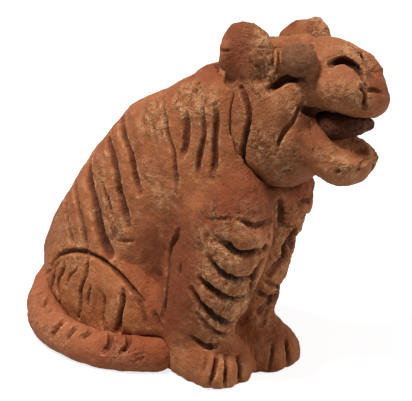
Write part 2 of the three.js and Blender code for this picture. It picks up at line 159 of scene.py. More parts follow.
def laid(surface, line, mirror=None):
    """The line, given in the photograph's pixels, laid on the clay that is seen there, or its mirror image
    on the far side. A line of places in millimetres, for a side that isn't seen, lies on the nearest clay."""
    STEP = 1.5  # pixels or millimetres, as the line is
    BREAK = 8 * MM  # a longer step means that the line has left one form for another behind it
    if len(line[0]) == 3:
        return np.array([tuple(surface.find_nearest(Vector(p) * MM)[0]) for p in along(line, STEP)])
    places = []
    for px, py in along(line, STEP):
        aim = VIEW_MIDDLE + photo_right * (px - PHOTO_MIDDLE[0]) * PIXEL
        aim += photo_up * (PHOTO_MIDDLE[1] - py) * PIXEL
        place = surface.ray_cast(camera_place, (aim - camera_place).normalized())[0]
        if place is None or (places and (place - places[-1]).length > BREAK):
            continue
        places.append(place)
    if mirror:
        middle, normal = mirror
        places = [p - normal * 2 * (p - middle).dot(normal) for p in places]
        places = [surface.find_nearest(p)[0] for p in places]
    return np.array([tuple(p) for p in places])


def nearest(points, line):
    """For each point, how far it is from the line, and how far along the line that is, from 0 to 1"""
    NO_LENGTH = 1e-12
    start, step = line[:-1], np.diff(line, axis=0)
    length = np.maximum((step**2).sum(1), NO_LENGTH)
    away = points[:, None, :] - start[None]
    share = np.clip((away * step[None]).sum(2) / length, 0, 1)
    distance = np.linalg.norm(away - share[..., None] * step[None], axis=2)
    closest = distance.argmin(1)
    rows = np.arange(len(points))
    return distance[rows, closest], (closest + share[rows, closest]) / len(step)


def thinned(piece, most):
    """The piece with no more triangles than that, fewest where the clay is smoothest"""
    finish(piece, "TRIANGULATE")
    finish(piece, "DECIMATE", ratio=min(1, most / len(piece.data.polygons)))


def unevenness(points, size):
    """A smooth random number from -1 to 1 for each point, which changes over about the size"""
    return np.array([noise(Vector(p)) for p in points / size])


def carve(piece, strokes, mirrors=(None,), single=()):
    """Cuts made with a round-ended tool. Each stroke is a width and a depth in millimetres and its line. The
    clay is pushed down along the line and a little up beside it, and the marks are kept for the material,
    which paints shade into the deeper cuts and a highlight on the burrs.
    A single stroke isn't mirrored."""
    RUN_OUT, END_DEPTH = 0.16, 0.45  # shares of a stroke's length and depth, where it runs out
    STEEP, GENTLE, SLOPE = 0.85, 0.15, 1.8  # shares of the depth, and how far the gentle one reaches
    BURR, BURR_PLACE, BURR_WIDTH = 0.28, 1.5, 0.36  # in depths, and in half widths from the line
    WAVE, WAVE_LENGTH = 0.16, 5 * MM  # how uneven the edges are, in half widths
    CHIP, CHIP_LENGTH = 0.1, 1.6 * MM
    BURR_LOST = 0.6 * MM  # the depth of a second cut that takes a first one's burr away
    # The depths from which, and over which, the material paints shade into a cut: some from RECESS, darker
    # from DEEP
    RECESS_FROM, RECESS_OVER = 0.8 * MM, 1.8 * MM  # the depth where a mark starts, and over which it fills
    DEEP_FROM, DEEP_OVER = 2.2 * MM, 1.6 * MM
    BURR_OVER = 0.5 * MM
    points, normals = points_of(piece), normals_of(piece)
    surface = surface_of(piece)
    down = np.zeros(len(points))
    up = np.zeros(len(points))
    cuts = [(stroke, mirror) for stroke in strokes for mirror in mirrors]
    for (width, depth, line), mirror in cuts + [(stroke, None) for stroke in single]:
        path = laid(surface, line, mirror)
        if len(path) < 2:
            continue
        half = width * MM / 2
        low, high = path.min(0) - 3 * half, path.max(0) + 3 * half
        near = np.flatnonzero(((points > low) & (points < high)).all(1))
        distance, progress = nearest(points[near], path)
        wander = unevenness(points[near], WAVE_LENGTH)
        chipped = unevenness(points[near], CHIP_LENGTH)
        across = distance / (half * (1 + WAVE * wander + CHIP * chipped))
        run_out = np.clip(np.minimum(progress, 1 - progress) / RUN_OUT, 0, 1) ** 0.6
        run_out = np.where((progress <= 0) | (progress >= 1), END_DEPTH, np.maximum(run_out, END_DEPTH))
        groove = STEEP / (1 + across**8) + GENTLE * np.exp(-((across / SLOPE) ** 2))
        groove *= depth * MM * run_out
        crumbs = np.clip(0.5 + wander + 1.4 * chipped, 0, 2)
        burr = BURR * depth * MM * run_out * crumbs * np.exp(-(((across - BURR_PLACE) / BURR_WIDTH) ** 2))
        down[near] = np.maximum(down[near], groove)
        up[near] = np.maximum(up[near], burr)
    up *= 1 - np.clip(down / BURR_LOST, 0, 1)
    put_points(piece, points + normals * (up - down)[:, None])
    # for the material: painted shade in the cuts, and a painted highlight on the burrs
    keep(piece, "recess", np.clip((down - RECESS_FROM) / RECESS_OVER, 0, 1))
    keep(piece, "deep", np.clip((down - DEEP_FROM) / DEEP_OVER, 0, 1))
    keep(piece, "burr", np.clip(up / BURR_OVER, 0, 1))


def mould(piece, swellings, mirrors=(None,), towards=None):
    """Clay raised, or pressed down where the height is negative, along lines seen in the photograph. Each is
    a width and a height in millimetres and its line. It rises straight out, or in the direction given."""
    points = points_of(piece)
    direction = normals_of(piece) if towards is None else np.array([tuple(towards)])
    surface = surface_of(piece)
    rise = np.zeros(len(points))
    for width, height, line in swellings:
        for mirror in mirrors:
            path = laid(surface, line, mirror)
            if len(path) < 2:
                continue
            reach = width * MM
            near = np.flatnonzero(((points > path.min(0) - reach) & (points < path.max(0) + reach)).all(1))
            distance = nearest(points[near], path)[0]
            rise[near] += height * MM * np.exp(-((distance / (0.5 * reach)) ** 2))
    put_points(piece, points + direction * rise[:, None])


def keep(piece, name, values):
    """Numbers for each point of a piece, which its material reads"""
    layer = piece.data.attributes.get(name) or piece.data.attributes.new(name, "FLOAT", "POINT")
    layer.data.foreach_set("value", np.asarray(values, np.float32))


def patches(piece, places, mirrors=(None,)):
    """How rough, or how smeared, the clay is at each point, from 0 to 1, where a few smeared patches are
    painted shade. Each patch is a reach in millimetres, an amount and its line in the photograph, and its
    edge is uneven."""
    FADED, RAGGED, RAG_LENGTH = 1.4, 0.5, 7 * MM  # where it has faded, in reaches, and its uneven edge
    points = points_of(piece)
    surface = surface_of(piece)
    found = np.zeros(len(points))
    for reach, amount, line in places:
        for mirror in mirrors:
            path = laid(surface, line, mirror)
            if len(path) < 2:
                continue
            distance = nearest(points, path if len(path) < 4 else path[::3])[0]
            ragged = RAGGED * unevenness(points, RAG_LENGTH)
            mask = np.clip(FADED - distance / (reach * MM) + ragged, 0, 1)
            found = np.maximum(found, amount * mask)
    return found


def nearness(piece, node):
    """How far each point of a piece is from one of the frame's lumps"""
    surface = surface_of(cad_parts[node])
    return np.array([surface.find_nearest(Vector(point))[3] for point in points_of(piece)])


def on_board(points):
    """The points with none of them under the board that the figure stands on"""
    return np.maximum(points, (-np.inf, -np.inf, 0))


def hand_marks(piece, rough, lumps=0.9, streaks=0):
    """The unevenness that fingers and grit leave in the clay: broad and shallow all over, fine and sharp in
    the rough places, and drawn out upwards where the tool was dragged. The foot stays flat on the board."""
    THUMB, FINGER, FINGERTIP = 15 * MM, 10 * MM, 4.5 * MM  # how far apart the marks of each kind lie
    CHIP, CRUMB, GRIT, STREAK = 3.2 * MM, 2.4 * MM, 1.5 * MM, 2.2 * MM
    STREAK_SHAPE = np.array([1, 1, 5])
    points, normals = points_of(piece), normals_of(piece)
    rough = np.broadcast_to(rough, len(points))
    pressed = 0.25 - np.abs(unevenness(points, THUMB))
    broad = unevenness(points, FINGER) * 0.45 + unevenness(points, FINGERTIP) * 0.25 + pressed * 1.1
    chips = np.abs(unevenness(points, CHIP)) - 0.2
    fine = unevenness(points, CRUMB) * 0.3 + np.abs(unevenness(points, GRIT)) * 0.7
    fine = fine - 0.17 - chips * 1.2
    dragged = unevenness(points / STREAK_SHAPE, STREAK) * 0.5
    height = broad * lumps + fine * (0.22 + 0.7 * rough) + dragged * streaks
    put_points(piece, on_board(points + normals * (height * MM)[:, None]))
    keep(piece, "rough", rough)


# Each mark is a width and a depth or height, in millimetres, and its line in the photograph's pixels
NECK_STRIPES = [
    (3.4, 4.6, [(213, 56), (219, 67), (222, 75), (226, 83), (230, 95), (232, 112), (232.5, 130), (233, 150),
                (236, 161)]),
    (3.0, 2.8, [(214.7, 106), (216, 120), (214.7, 143), (214.7, 158), (212, 178)]),
    (2.6, 2.6, [(202, 100), (203.3, 127), (203.3, 137), (198.7, 159), (197.3, 178)]),
    (3.4, 2.6, [(186, 115), (186, 127), (184.7, 146), (181, 158)]),
]
FLANK_STRIPES = [
    (2.6, 2.6, [(162.7, 93), (163.3, 113), (168, 135), (174, 156), (176, 193)]),
    (2.4, 1.6, [(156.7, 94), (157.3, 104), (152, 120), (153.3, 129)]),
    (5.0, 4.6, [(141, 98), (148, 119), (153, 145), (160, 170), (163.5, 193)]),
    (4.0, 4.4, [(121, 115), (122, 127), (130.7, 157), (134.7, 176), (138.7, 192)]),
    (5.0, 4.6, [(108, 140), (113.3, 164), (118, 184), (122.7, 205), (127.3, 224)]),
    (3.0, 2.4, [(101, 184), (107, 201), (111, 213)]),
    (6.4, 4.8, [(89.5, 159), (88, 173), (92.7, 196), (97.3, 217), (101.3, 237), (108, 254)]),
    (4.0, 3.8, [(74, 182), (78, 207), (82.7, 228), (86, 246)]),
    (3.6, 3.4, [(65, 195), (66.7, 219), (70.7, 240)]),
    (2.0, 1.4, [(117, 241), (133, 241)]),
]
FLANK_RIDGES = [
    (9, 3.0, [(210, 64), (218, 59)]),  # the nape behind the ear
    (6, 1.2, [(133, 110), (140, 140), (148, 175)]),
    (6, 1.2, [(115, 130), (123, 160), (130, 195)]),
    (7, 1.4, [(99, 155), (105, 190), (114, 225)]),
    (6, 1.2, [(80, 185), (87, 215), (94, 245)]),
    (6, 1.0, [(150, 100), (158, 130), (166, 170)]),
]
FORELEG_FOLDS = [
    (3.0, 3.4, [(178, 230), (169.8, 250), (167.4, 280), (164.4, 306), (162.6, 318)]),  # behind the elbow
    (2.0, 1.4, [(181, 264), (179, 276)]),
    (4.0, 4.0, [(262, 262), (256, 275), (251, 299), (246, 325), (243, 340)]),  # between the legs
    (3.2, 2.8, [(281, 199), (280, 226)]),
]
FORELEG_ROLLS = [
    (9, 1.2, [(222, 232), (238, 240), (257, 240)]),
    (9, 1.4, [(214, 252), (228, 265), (244, 268), (255, 264)]),
    (9, 1.6, [(206, 273), (218, 284), (233, 291), (249, 287)]),
    (9, 1.6, [(205, 294), (218, 306), (232, 313), (245, 309)]),
    (8, 1.2, [(204, 315), (216, 327), (232, 331)]),
]
FORELEG_BANDS = [
    (2.6, 2.4, [(239, 220), (248.7, 224.4), (255.8, 225.8), (271, 221)]),
    (3.6, 4.2, [(223, 243), (228, 246), (234, 251.5), (244.5, 254.4), (259, 252)]),
    (3.6, 3.8, [(208, 257), (212, 264), (219, 272), (232, 279.6), (241.5, 280), (255, 276)]),
    (3.8, 4.4, [(200, 279), (208, 287), (219, 294), (233, 300), (250, 297)]),
    (3.8, 4.2, [(192, 289), (197, 299), (206, 310), (219, 320.5), (233, 325.5), (241, 322)]),
    (3.2, 2.4, [(197, 315), (208, 327), (219, 334), (232, 336)]),
    (1.8, 1.2, [(207, 220), (230, 218.7)]),
]
FAR_LEG_BANDS = [
    (2.4, 2.0, [(280, 226), (287, 227), (294, 226.5)]),
    (2.4, 2.2, [(270, 236), (280, 241), (291, 241)]),
    (3.4, 3.4, [(265, 248), (277, 256), (288, 256)]),
    (2.4, 1.8, [(264, 280), (272, 286), (282, 287)]),
    (3.0, 2.4, [(258, 292), (265, 297), (276, 298)]),
]
HAUNCH_ARC = [
    (2.6, 3.2, [(50, 266), (55, 259), (62, 253), (75, 251), (87, 252.5), (103, 261), (120, 276), (133, 290),
                (143, 301)]),
    (2.4, 1.6, [(46, 275), (52, 268), (60, 262)]),
]
HAUNCH_HOLLOW = [(11, -2.2, [(99, 299), (97, 320)])]
HAUNCH_STRIPES = [
    (2.8, 2.2, [(56, 262), (53.5, 274), (51.5, 290), (55, 303)]),
    (3.0, 3.0, [(64, 256), (62.5, 268), (57.5, 285), (60, 302), (62, 315)]),
    (2.0, 2.0, [(76, 255), (76.6, 268), (70, 276), (67, 286)]),
    (2.8, 3.2, [(87.5, 258), (86.6, 268), (84, 279), (80, 294), (79, 318)]),
    (2.0, 2.0, [(91, 286), (88, 298), (87.5, 309)]),
    (2.4, 3.6, [(105, 297), (104, 310), (103, 326)]),
    (3.2, 3.8, [(123, 291), (121.5, 307), (117.5, 331)]),
    (2.4, 2.0, [(136.5, 298), (142, 309), (147, 327)]),
    (2.4, 1.8, [(154, 312), (160, 327)]),
]
TOES = [
    (6, 1.6, [(212, 358), (206, 380)]),
    (6, 1.8, [(221, 360), (217, 383)]),
    (6, 1.8, [(231, 361), (231, 384)]),
    (7, 1.6, [(245, 358), (246, 378)]),
    (8, 1.4, [(277, 345), (278, 366)]),
    (7, 1.2, [(291, 342), (291, 360)]),
]
TOE_CUTS = [
    (2.2, 2.6, [(217, 353), (215.5, 365), (210, 385)]),
    (2.2, 2.6, [(225, 355), (226.4, 367), (224.5, 386)]),
    (2.4, 2.8, [(236, 356), (240, 370), (239, 387)]),
    (1.8, 1.4, [(206, 356), (203, 372)]),
    (2.2, 2.2, [(285, 340), (288, 354), (287, 370)]),
    (1.8, 1.4, [(272, 345), (271, 358), (268, 371)]),
    (2.4, 2.6, [(191.5, 336), (200, 343), (207, 346.5), (216, 346)]),  # the crease over the paw
]
# Patches of clay that is smeared and redder, the one under the jaw darker also as painted shade, and of clay
# that is broken up and dusted
BODY_RUBBED_AND_SHADE = [
    (15, 1.0, [(182, 235), (176, 270), (178, 315)]),
    (13, 0.9, [(152, 250), (150, 290), (158, 318)]),
    # under the jaw: smeared clay, with the jaw's shade painted on it
    (16, 0.9, [(262, 196), (248, 200), (226, 195), (214, 215)]),
    (10, 0.3, [(284, 300), (272, 330)]),
    (10, 0.6, [(195, 60), (210, 75)]),
]
BODY_ROUGH = [
    (16, 1.0, [(216, 240), (232, 290), (222, 322)]),
    (12, 0.7, [(245, 225), (240, 260)]),
    (9, 0.9, [(185, 98), (200, 108)]),
    (12, 0.5, [(100, 180), (112, 225)]),
    (14, 0.4, [(60, 220), (70, 250)]),
    (8, 0.7, [(150, 110), (160, 124)]),
    (8, 0.5, [(150, 180), (165, 200)]),
    (8, 0.6, [(286, 215), (284, 235)]),
]


def clay_effect():
    """The look of unglazed fired clay: its red body, paler with a dusting where it is rough, paler also on
    burrs and on ridges as a painted highlight, with painted shade in the cuts, cracks and pits, and with
    grains and pits"""
    group = bpy.data.node_groups.new("unglazed clay", "ShaderNodeTree")
    for name, kind, default in [
        ("Body", "NodeSocketColor", (0.3, 0.1, 0.05, 1)),
        ("Rubbed and shade", "NodeSocketColor", (0.3, 0.07, 0.03, 1)),
        ("Dust and highlight", "NodeSocketColor", (0.6, 0.3, 0.18, 1)),
        ("Shade", "NodeSocketColor", (0.04, 0.01, 0.005, 1)),
    ]:
        socket = group.interface.new_socket(name, in_out="INPUT", socket_type=kind)
        socket.default_value = default
    for name, kind in [("Colour", "NodeSocketColor"), ("Roughness", "NodeSocketFloat"),
                       ("Height", "NodeSocketFloat")]:
        group.interface.new_socket(name, in_out="OUTPUT", socket_type=kind)
    nodes, links = group.nodes, group.links
    given = nodes.new("NodeGroupInput")
    result = nodes.new("NodeGroupOutput")
    place = nodes.new("ShaderNodeTexCoord").outputs["Object"]

    def marked(name):
        node = nodes.new("ShaderNodeAttribute")
        node.attribute_name = name
        return node.outputs["Fac"]

    def speckle(scale, detail, low, high):
        """Cloudy noise, from 0 where it is low to 1 where it is high. A scale of 100 has spots of 10 mm."""
        texture = nodes.new("ShaderNodeTexNoise")
        texture.inputs["Scale"].default_value = scale
        texture.inputs["Detail"].default_value = detail
        links.new(place, texture.inputs["Vector"])
        return spread(texture.outputs["Fac"], low, high)

    def spread(value, low, high, bottom=0, top=1):
        node = nodes.new("ShaderNodeMapRange")
        node.inputs["From Min"].default_value = low
        node.inputs["From Max"].default_value = high
        node.inputs["To Min"].default_value = bottom
        node.inputs["To Max"].default_value = top
        links.new(value, node.inputs["Value"])
        return node.outputs["Result"]

    def reckon(operation, a, b):
        node = nodes.new("ShaderNodeMath")
        node.operation = operation
        for socket, value in zip(node.inputs, (a, b)):
            if isinstance(value, (int, float)):
                socket.default_value = value
            else:
                links.new(value, socket)
        return node.outputs[0]

    def blend(mask, under, over):
        COLOUR_A, COLOUR_B, COLOUR_OUT = 6, 7, 2  # the node's sockets for colours
        node = nodes.new("ShaderNodeMix")
        node.data_type = "RGBA"
        links.new(mask, node.inputs["Factor"])
        links.new(under, node.inputs[COLOUR_A])
        links.new(over, node.inputs[COLOUR_B])
        return node.outputs[COLOUR_OUT]

    rough, recess, burr, worn_and_shade = marked("rough"), marked("recess"), marked("burr"), marked("rubbed_and_shade")
    broad = speckle(38, 3, 0.38, 0.62)  # patches as wide as two fingers
    mottle = speckle(260, 6, 0.4, 0.62)  # blotches of a few millimetres
    grain = speckle(1100, 5, 0.36, 0.64)  # grains under a millimetre

    # Pits where grit fell out
    pits = nodes.new("ShaderNodeTexVoronoi")
    pits.inputs["Scale"].default_value = 420
    links.new(place, pits.inputs["Vector"])
    pit = spread(pits.outputs["Distance"], 0.12, 0.34, 1, 0)
    pit = reckon("MULTIPLY", pit, speckle(300, 4, 0.5, 0.66))
    pit = reckon("MULTIPLY", pit, spread(rough, 0, 0.6, 0.35, 1))

    # Fine cracks where the clay is rough, along the edges of uneven cells
    BENT_BY = 11 * MM
    bend = nodes.new("ShaderNodeTexNoise")
    bend.inputs["Scale"].default_value = 170
    bend.inputs["Detail"].default_value = 5
    links.new(place, bend.inputs["Vector"])
    bent = nodes.new("ShaderNodeVectorMath")
    bent.operation = "MULTIPLY_ADD"
    bent.inputs[1].default_value = (BENT_BY, BENT_BY, BENT_BY)
    links.new(bend.outputs["Color"], bent.inputs[0])
    links.new(place, bent.inputs[2])
    cracks = nodes.new("ShaderNodeTexVoronoi")
    cracks.feature = "DISTANCE_TO_EDGE"
    cracks.inputs["Scale"].default_value = 105
    links.new(bent.outputs[0], cracks.inputs["Vector"])
    crack = spread(cracks.outputs["Distance"], 0.008, 0.03, 1, 0)
    crack = reckon("MULTIPLY", crack, speckle(70, 3, 0.5, 0.56))
    crack = reckon("MULTIPLY", crack, spread(rough, 0.1, 0.6))

    # The redder colour of wet and smeared clay, which in a few patches is painted shade, and the pale dust on
    # what stands proud, which on the burrs is also a painted highlight
    smooth = reckon("MULTIPLY", reckon("SUBTRACT", 1, rough), reckon("MULTIPLY", broad, 0.5))
    smooth = reckon("MINIMUM", reckon("ADD", reckon("ADD", smooth, worn_and_shade), recess), 1)
    # Pale where the clay is rough, and on the burrs as a painted highlight
    dust_and_highlight = reckon("MULTIPLY", reckon("ADD", reckon("MULTIPLY", rough, 0.75), burr), mottle)
    dust_and_highlight = reckon("ADD", dust_and_highlight, reckon("MULTIPLY", speckle(150, 8, 0.5, 0.75), 0.35))
    dust_and_highlight = reckon("MULTIPLY", dust_and_highlight, spread(worn_and_shade, 0, 1, 1, 0.25))
    dust_and_highlight = reckon("MULTIPLY", dust_and_highlight, spread(grain, 0, 1, 0.35, 1.25))
    colour = blend(smooth, given.outputs["Body"], given.outputs["Rubbed and shade"])
    colour = blend(reckon("MINIMUM", dust_and_highlight, 0.9), colour, given.outputs["Dust and highlight"])

    # Painted shade: the Shade colour laid into the deeper cuts, the cracks and the pits. The dark specks are
    # the clay's own
    shaded = reckon("MULTIPLY", recess, 0.6)
    shaded = reckon("MAXIMUM", shaded, reckon("MULTIPLY", marked("deep"), 0.88))
    speck = reckon("MULTIPLY", speckle(700, 5, 0.55, 0.75), 0.35)
    dark = reckon("MAXIMUM", shaded, reckon("MULTIPLY", pit, 0.5))
    dark = reckon("MAXIMUM", dark, reckon("MAXIMUM", speck, reckon("MULTIPLY", crack, 0.55)))
    colour = blend(dark, colour, given.outputs["Shade"])
    links.new(colour, result.inputs["Colour"])
    links.new(spread(dust_and_highlight, 0, 1, 0.72, 0.97), result.inputs["Roughness"])
    height = reckon("ADD", reckon("MULTIPLY", grain, 0.35), reckon("MULTIPLY", mottle, 0.65))
    height = reckon("MULTIPLY", height, spread(rough, 0, 1, 0.5, 1.2))
    height = reckon("SUBTRACT", height, reckon("MAXIMUM", pit, crack))
    links.new(height, result.inputs["Height"])
    return group


unglazed = clay_effect()


def fired(name, body, rubbed_and_shade, dust_and_burr_highlight, shade=(0.03, 0.008, 0.004)):
    """A material of fired clay, with its own colours: of its body, of smeared clay, which in a few patches is
    painted shade, of the pale dusting, which on the burrs is a painted highlight, and of the painted shade in
    cuts, cracks and pits, which is also the colour of dark specks
    """
    RELIEF = 1.15 * MM
    material = bpy.data.materials.new(name)
    material.use_nodes = True
    nodes, links = material.node_tree.nodes, material.node_tree.links
    shader = nodes["Principled BSDF"]
    shader.inputs["Specular IOR Level"].default_value = 0.12
    effect = nodes.new("ShaderNodeGroup")
    effect.node_tree = unglazed
    for socket, colour in [("Body", body), ("Rubbed and shade", rubbed_and_shade), ("Dust and highlight", dust_and_burr_highlight), ("Shade", shade)]:
        effect.inputs[socket].default_value = (*colour, 1)
    bump = nodes.new("ShaderNodeBump")
    bump.inputs["Distance"].default_value = RELIEF
    bump.inputs["Strength"].default_value = 1
    links.new(effect.outputs["Colour"], shader.inputs["Base Color"])
    links.new(effect.outputs["Roughness"], shader.inputs["Roughness"])
    links.new(effect.outputs["Height"], bump.inputs["Height"])
    links.new(bump.outputs["Normal"], shader.inputs["Normal"])
    return material


# Its smeared colour, darker and browner, also paints the shade under the jaw
red_clay = fired("red clay", (0.31, 0.104, 0.038), (0.18, 0.045, 0.016), (0.60, 0.32, 0.16))


def place_piece(piece, slot, material, *nodes):
    """The piece's material, its slot in the record, which is not used, and the frame's nodes that it stands
    for
    """
    piece.data.materials.append(material)
    bpy.ops.object.select_all(action="DESELECT")
    piece.select_set(True)
    bpy.context.view_layer.objects.active = piece
    bpy.ops.object.shade_smooth()
    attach(piece, "root")
    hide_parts(*nodes)


body_nodes = ["trunk", "right_foreleg", "left_foreleg"]
pressed_on = ["right_haunch", "left_haunch", "right_front_paw", "left_front_paw"]
body = lump("body", body_nodes + pressed_on, fineness=3.1 * MM)
both_sides = (None, TRUNK_MIDDLE)
LEFT_ROUGHNESS = 0.45  # of the right side's, on the side that isn't seen
left_rough = LEFT_ROUGHNESS * patches(body, BODY_ROUGH, (TRUNK_MIDDLE,))
body_rough = np.maximum(patches(body, BODY_ROUGH), left_rough)
keep(body, "rubbed_and_shade", patches(body, BODY_RUBBED_AND_SHADE, both_sides))
away = {node: nearness(body, node) for node in body_nodes + pressed_on}
for node in pressed_on:  # the share of the skin that each thigh and paw has, for their own sections
    others = [away[other] for other in away if other != node]
    keep(body, node, np.minimum.reduce(others) - away[node])
mould(body, FORELEG_ROLLS + FLANK_RIDGES + HAUNCH_HOLLOW, both_sides)
mould(body, TOES)
body_cuts = NECK_STRIPES + FLANK_STRIPES + FORELEG_FOLDS + FORELEG_BANDS + HAUNCH_ARC + HAUNCH_STRIPES
carve(body, body_cuts, both_sides, FAR_LEG_BANDS + TOE_CUTS)
hand_marks(body, body_rough, streaks=0.6)
thinned(body, MOST_TRIANGLES)
place_piece(body, "fired_clay", red_clay, *body_nodes)

# TAIL
# A thick coil rolled between the hands, laid round the right side on the board and pressed against the right
# front paw, with nicks of the tool across its upper side
TAIL_NICKS = [
    (2.4, 1.6, [(35.7, 295.6), (44, 291)]),
    (2.4, 1.6, [(43, 307), (48.8, 298)]),
    (2.4, 1.6, [(46.5, 312), (54, 308)]),
    (3.2, 2.4, [(50, 337), (57, 327), (64, 320)]),
    (3.0, 2.4, [(65, 339), (71.6, 331.5), (77, 326)]),
    (3.0, 2.2, [(82, 337), (89.6, 331), (92, 326)]),
    (2.8, 2.6, [(107, 327), (110.5, 334), (109.5, 343), (104, 352)]),
    (2.6, 2.8, [(124, 328), (129, 336), (127.5, 346), (121, 353)]),
    (1.8, 0.9, [(135.7, 361), (144.7, 358)]),
]
tail_clay = fired("tail clay", (0.33, 0.103, 0.04), (0.25, 0.062, 0.023), (0.56, 0.29, 0.155))
TAIL_ROOT = [(16, 2.6, [(14, 108, 27), (7, 109, 21), (0, 109, 17)])]  # places in millimetres, on the rump
# The tail's end, smeared and darker: painted shade, in the tail clay's smeared colour
TAIL_END_SHADE = [(16, 1.0, [(135, 340), (165, 342)])]
TAIL_ROUGH = [
    (9, 0.3, [(30, 310), (60, 345)]),
    (7, 0.5, [(118, 352), (135, 358)]),
]
tail = lump("tail_coil", ["tail"], fineness=2 * MM, softness=6)
mould(tail, TAIL_ROOT)
tail_rough = patches(tail, TAIL_ROUGH)
keep(tail, "rubbed_and_shade", patches(tail, TAIL_END_SHADE))
carve(tail, TAIL_NICKS)
hand_marks(tail, tail_rough)
place_piece(tail, "fired_clay_tail", tail_clay, "tail")

# HAUNCHES
# A thigh on each side: a thick pad pressed on to the trunk, left with a deep seam over its top and cut with
# stripes of its own. It was shaped and cut with the body, so the piece is the skin over it.
haunch_clay = fired("haunch clay", (0.33, 0.11, 0.038), (0.25, 0.065, 0.022), (0.60, 0.32, 0.16))


def skin_of(piece, name, share):
    """The skin over a part of a piece, where the share kept for its points is more than nothing, as a
    closed piece that lies on it and dips in at its edge"""
    EDGE, PROUD, DIP, THICKNESS = 1.5 * MM, 0.15 * MM, 0.6 * MM, 1.5 * MM
    skin = bpy.data.objects.new(name, piece.data.copy())
    skin.data.name = name
    skin.data.materials.clear()
    bpy.context.scene.collection.objects.link(skin)
    bpy.ops.object.select_all(action="DESELECT")
    skin.select_set(True)
    bpy.context.view_layer.objects.active = skin
    inside = np.empty(len(skin.data.vertices), np.float32)
    skin.data.attributes[share].data.foreach_get("value", inside)
    lift = np.clip(inside / EDGE, -1, 1)
    lift = lift * np.where(lift > 0, PROUD, DIP)
    put_points(skin, points_of(skin) + normals_of(skin) * lift[:, None])
    bpy.ops.object.mode_set(mode="EDIT")
    bpy.ops.mesh.select_all(action="DESELECT")
    bpy.ops.object.mode_set(mode="OBJECT")
    skin.data.vertices.foreach_set("select", inside < -EDGE)
    bpy.ops.object.mode_set(mode="EDIT")
    bpy.ops.mesh.delete(type="VERT")
    bpy.ops.object.mode_set(mode="OBJECT")
    finish(skin, "SOLIDIFY", thickness=THICKNESS, offset=-1)
    put_points(skin, on_board(points_of(skin)))
    return skin


for side in ["right", "left"]:
    haunch = skin_of(body, f"{side}_thigh", f"{side}_haunch")
    place_piece(haunch, "fired_clay_haunch", haunch_clay, f"{side}_haunch")

# FRONT PAWS
# A pad of clay under each foreleg, flattened on the board, pinched into toes and cut between them with the
# tool. It is smeared into the leg, so it too was shaped with the body and the piece is the skin over it.
for side in ["right", "left"]:
    paw = skin_of(body, f"{side}_forepaw", f"{side}_front_paw")
    place_piece(paw, "fired_clay", red_clay, f"{side}_front_paw")

# HIND PAWS
# A small foot of the same clay, which comes out from under each haunch. Both lie behind other lumps.
for side in ["right", "left"]:
    paw = lump(f"{side}_hindpaw", [f"{side}_hind_paw"], fineness=2 * MM)
    hand_marks(paw, rough=0.4)
    place_piece(paw, "fired_clay", red_clay, f"{side}_hind_paw")

# HEAD
# The skull, the lower jaw hollowed with the thumb, the strip of the nose, the pads of the muzzle and the two
# flat ears, with the joints smeared over. Cuts mark the ruff, the cheeks, the nose and the slits under the
# eyes.
HEAD_MIDDLE = (Vector((5.75, -33.75, 118.6)) * MM, Vector((0.9448, 0.2532, -0.2079)))  # as the trunk's
HEAD_SWELLINGS = [
    (14, 1.4, [(322, 88), (340, 86)]),  # the muzzle's side
    (9, 1.6, [(262, 40), (260, 54)]),  # the ear's front edge
    (9, -3.6, [(370, 58), (377, 68)]),  # the slope of the nose
    (6, 2.4, [(330, 57), (345, 55), (356, 60), (366, 71)]),  # the ridge over the groove beside the nose
    (12, 1.0, [(340, 158), (352, 162)]),  # under the jaw
    (7, -2.2, [(288, 120), (282, 138)]),  # the hollow of the cheek
    (9, 3.0, [(227, 50), (226, 60), (224, 66)]),  # behind the ear
    (7, 1.8, [(319, 52), (318, 68)]),  # between the eye and the muzzle
    (10, -3.4, [(378, 150), (378, 162)]),  # the jaw's tip
    (22, 1.0, [(262, 110), (262, 140)]),  # the cheek
]
EARS_AND_BROW = [
    (8, -2.0, [(287, 24), (295, 20)]),  # the far ear
    (8, 2.4, [(315, 20), (323, 27)]),
    (10, -2.8, [(224, 30), (220, 44)]),  # the near ear's rim
    (8, -1.8, [(233, 22), (246, 20), (256, 22)]),
    (9, 3.6, [(272, 46), (276, 58), (274, 72)]),  # between the near ear and the eye
    (6, 2.6, [(279.5, 50), (279, 62)]),
    (6, 2.6, [(284, 44), (292, 40.5), (303, 39), (313, 42)]),  # the brow over the eye
]
JAW_PRESS = [(15, -8.5, [(340, 140), (349, 145), (361, 147)])]  # the thumb's hollow
